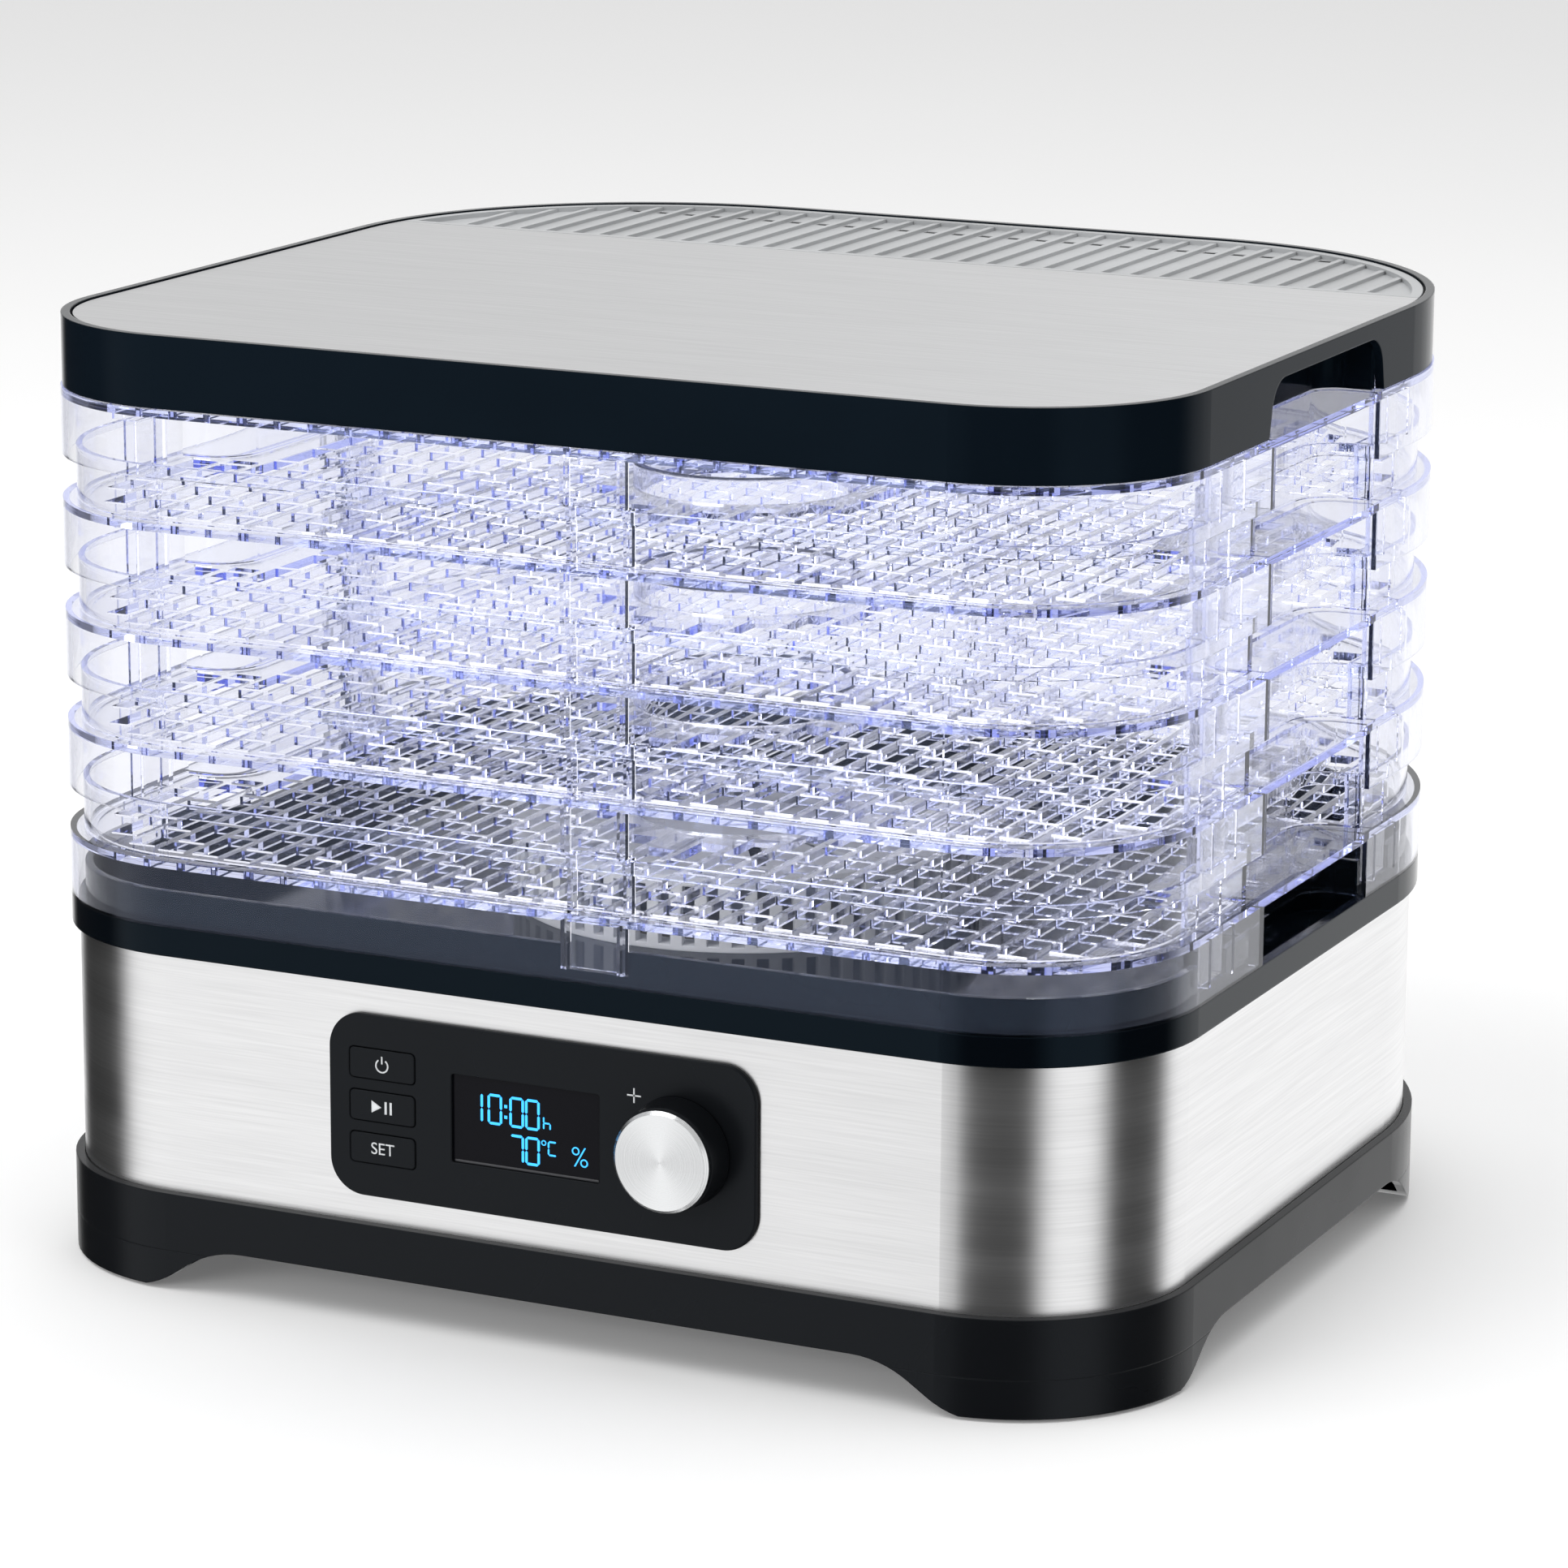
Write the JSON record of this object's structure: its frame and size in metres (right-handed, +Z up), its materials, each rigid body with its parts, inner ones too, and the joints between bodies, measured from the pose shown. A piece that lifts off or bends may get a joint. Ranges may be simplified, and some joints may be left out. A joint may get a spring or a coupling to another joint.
{
  "type": "food dehydrator",
  "caption": "Countertop food dehydrator: clear trays stacked on a fan-heated base with keys, display and rotary knob, under a lid with a steel plate and rear vent.",
  "frame": {"origin": "middle of the overall footprint, on the plane that the rubber feet stand on", "axes": "+Z up, +X to the right as seen from the front, front with the control panel faces -Y"},
  "size_m": [0.347, 0.3358, 0.2758],
  "materials": {
    "black_gloss": "gloss black ABS",
    "black_satin": "satin black ABS",
    "brushed_steel": "brushed stainless",
    "light_plastic": "light grey ABS",
    "clear_plastic": "clear SAN plastic",
    "screen_glass": "dark acrylic window",
    "spun_aluminium": "spun aluminium",
    "rubber": "matt rubber",
    "zinc_screw": "zinc plated",
    "board_green": "solder mask",
    "component_black": "moulded",
    "sheet_steel": "zinc plated sheet",
    "motor_steel": "lacquered laminations",
    "fan_plastic": "glass filled nylon",
    "mica": "mica board",
    "heater_wire": "resistance wire"
  },
  "bodies": {
    "base": {"base_tub": "black_gloss", "steel_band": "brushed_steel", "base_shell": "black_satin", "shell_feet": "black_satin", "bottom_cover": "black_satin", "foot_pads": "rubber", "base_screws": "zinc_screw", "control_panel": "black_satin", "display_window": "screen_glass", "display_module": "component_black", "control_board": "board_green", "encoder": "component_black", "tact_switches": "component_black", "outlet_cage": "light_plastic", "outlet_cap": "light_plastic", "fan_duct": "sheet_steel", "motor_bracket": "sheet_steel", "fan_motor": "motor_steel", "heater_boards": "mica", "heater_coils": "heater_wire", "thermal_fuse": "component_black", "temperature_sensor": "sheet_steel", "power_board": "board_green", "board_pillars": "component_black", "cord_gland": "black_satin"},
    "power_key": {"power_button": "black_satin"},
    "play_key": {"play_button": "black_satin"},
    "set_key": {"set_button": "black_satin"},
    "knob": {"knob_body": "black_satin", "knob_cap": "spun_aluminium"},
    "fan": {"fan_impeller": "fan_plastic", "fan_axle": "sheet_steel"},
    "lid": {"lid_frame": "black_gloss", "lid_top_plate": "brushed_steel", "lid_vent": "light_plastic", "lid_screws": "zinc_screw"},
    "tray_1": {"tray_1_frame": "clear_plastic", "tray_1_mesh": "clear_plastic", "tray_1_collar": "clear_plastic"},
    "tray_2": {"tray_2_frame": "clear_plastic", "tray_2_mesh": "clear_plastic", "tray_2_collar": "clear_plastic"},
    "tray_3": {"tray_3_frame": "clear_plastic", "tray_3_mesh": "clear_plastic", "tray_3_collar": "clear_plastic"},
    "tray_4": {"tray_4_frame": "clear_plastic", "tray_4_mesh": "clear_plastic", "tray_4_collar": "clear_plastic"},
    "tray_5": {"tray_5_frame": "clear_plastic", "tray_5_mesh": "clear_plastic", "tray_5_collar": "clear_plastic"}
  },
  "joints": [
    {"name": "tray_1_lift", "type": "slide", "parent": "base", "child": "tray_1", "axis": [0, 0, 1], "range_m": [0, 0.045]},
    {"name": "tray_2_lift", "type": "slide", "parent": "tray_1", "child": "tray_2", "axis": [0, 0, 1], "range_m": [0, 0.045]},
    {"name": "tray_3_lift", "type": "slide", "parent": "tray_2", "child": "tray_3", "axis": [0, 0, 1], "range_m": [0, 0.045]},
    {"name": "tray_4_lift", "type": "slide", "parent": "tray_3", "child": "tray_4", "axis": [0, 0, 1], "range_m": [0, 0.045]},
    {"name": "tray_5_lift", "type": "slide", "parent": "tray_4", "child": "tray_5", "axis": [0, 0, 1], "range_m": [0, 0.045]},
    {"name": "lid_lift", "type": "slide", "parent": "tray_5", "child": "lid", "axis": [0, 0, 1], "range_m": [0, 0.06]},
    {"name": "power_press", "type": "slide", "parent": "base", "child": "power_key", "axis": [0, 1, 0], "range_m": [0, 0.0008], "stiffness_N_per_m": 600, "springref_m": -0.0004},
    {"name": "play_press", "type": "slide", "parent": "base", "child": "play_key", "axis": [0, 1, 0], "range_m": [0, 0.0008], "stiffness_N_per_m": 600, "springref_m": -0.0004},
    {"name": "set_press", "type": "slide", "parent": "base", "child": "set_key", "axis": [0, 1, 0], "range_m": [0, 0.0008], "stiffness_N_per_m": 600, "springref_m": -0.0004},
    {"name": "knob_turn", "type": "hinge", "parent": "base", "child": "knob", "pos_m": [0.043, -0.1558, 0.0636], "axis": [0, -1, 0], "continuous": true},
    {"name": "fan_spin", "type": "hinge", "parent": "base", "child": "fan", "pos_m": [0, -0.025, 0.06], "axis": [0, 0, 1], "continuous": true}
  ]
}
